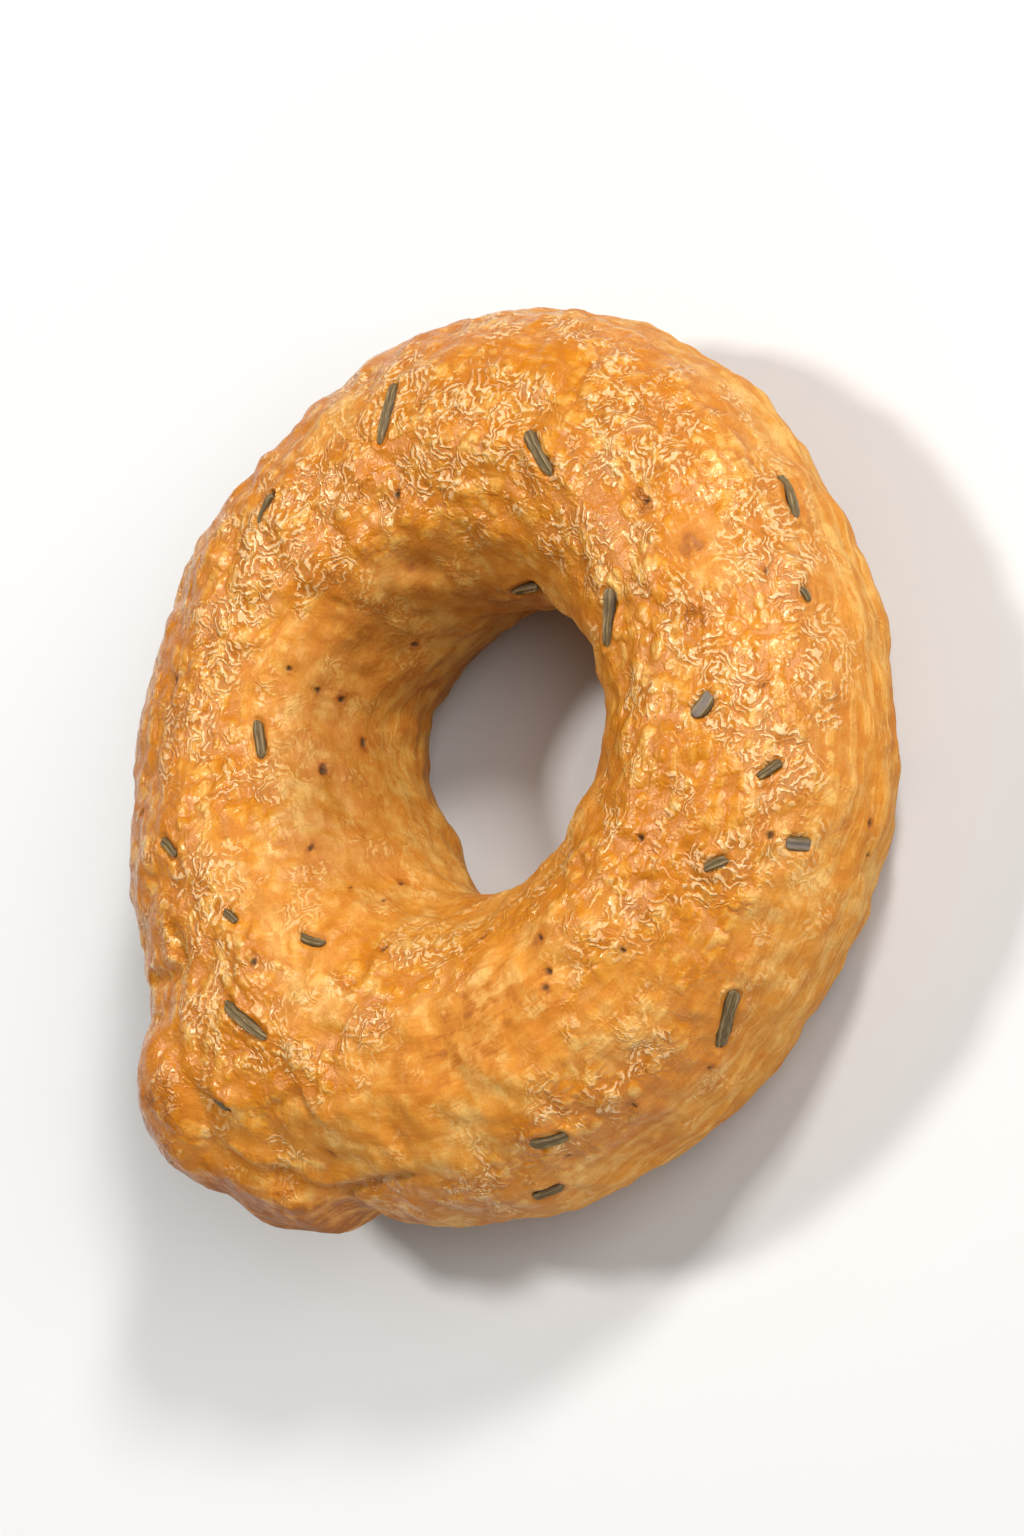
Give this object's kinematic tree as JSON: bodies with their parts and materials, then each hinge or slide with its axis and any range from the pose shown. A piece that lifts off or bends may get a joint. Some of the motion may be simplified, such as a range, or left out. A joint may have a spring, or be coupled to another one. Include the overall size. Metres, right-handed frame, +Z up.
{
  "type": "tarallo",
  "caption": "Ring-shaped savoury biscuit of rolled dough, golden baked and oiled, with rosemary flakes in its crust and its ends pressed together.",
  "frame": {"origin": "middle of the box round the ring, on the flat baked underside", "axes": "+Z up out of the hole's top; +X along the ring's longer side, away from the joint of its ends"},
  "size_m": [0.0484, 0.0448, 0.0152],
  "materials": {
    "crust": "golden baked crust with a thin sheen of oil",
    "rosemary": "dried leaf, matt"
  },
  "bodies": {
    "root": {"tarallo": "crust"}
  },
  "joints": []
}
